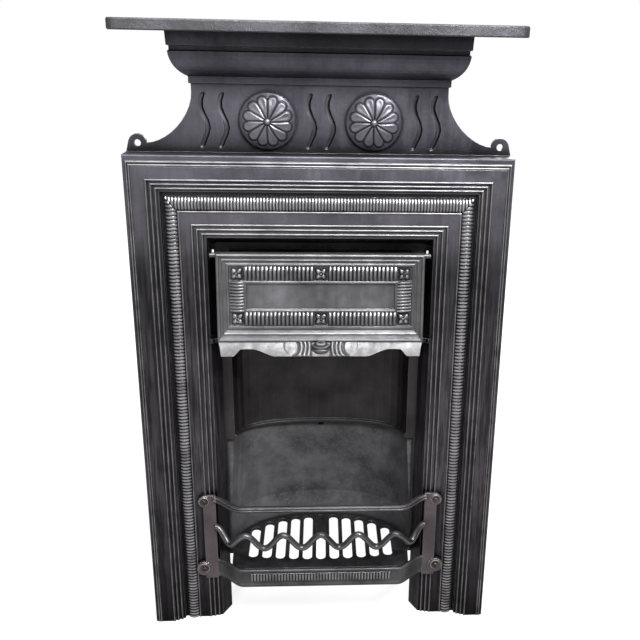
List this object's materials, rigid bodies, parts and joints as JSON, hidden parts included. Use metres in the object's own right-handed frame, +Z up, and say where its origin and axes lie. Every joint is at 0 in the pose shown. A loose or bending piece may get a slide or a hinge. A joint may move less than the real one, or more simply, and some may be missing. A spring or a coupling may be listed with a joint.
{
  "type": "cast iron combination fireplace",
  "caption": "Small cast iron fireplace with a moulded surround, rosette frieze, shelf, hanging hood, curved fireback, lift-out grate and bowed front bars.",
  "frame": {"origin": "on the floor, under the middle of the whole object's bounding box", "axes": "+X to the right as one looks at the fire, +Y to the chimney breast, +Z up"},
  "size_m": [0.557, 0.2348, 0.966],
  "materials": {
    "blacked_iron": "black-leaded, satin",
    "hood_iron": "black-leaded and rubbed, satin",
    "grate_iron": "blackened, matt",
    "bar_iron": "black-leaded, worn, satin",
    "sooted_clay": "blacked fire clay, rough",
    "screw_steel": "darkened steel"
  },
  "bodies": {
    "casting": {"surround": "blacked_iron", "mantel_shelf": "blacked_iron", "fireback": "blacked_iron", "fire_brick": "sooted_clay", "front_bars": "bar_iron", "shelf_bolt_left": "screw_steel", "bar_screw_top_left": "screw_steel", "bar_nut_top_left": "screw_steel", "bar_screw_bottom_left": "screw_steel", "bar_nut_bottom_left": "screw_steel", "fireback_bolt_lower_left": "screw_steel", "fireback_nut_lower_left": "screw_steel", "fireback_bolt_upper_left": "screw_steel", "fireback_nut_upper_left": "screw_steel", "shelf_bolt_right": "screw_steel", "bar_screw_top_right": "screw_steel", "bar_nut_top_right": "screw_steel", "bar_screw_bottom_right": "screw_steel", "bar_nut_bottom_right": "screw_steel", "fireback_bolt_lower_right": "screw_steel", "fireback_nut_lower_right": "screw_steel", "fireback_bolt_upper_right": "screw_steel", "fireback_nut_upper_right": "screw_steel"},
    "hood": {"hood": "hood_iron"},
    "grate": {"bottom_grate": "grate_iron"}
  },
  "joints": [
    {"name": "hood_swing", "type": "hinge", "parent": "casting", "child": "hood", "pos_m": [0, -0.03445, 0.636], "axis": [-1, 0, 0], "range_deg": [0, 40]},
    {"name": "grate_lift", "type": "slide", "parent": "casting", "child": "grate", "axis": [0, 0, 1], "range_m": [0, 0.04]}
  ]
}
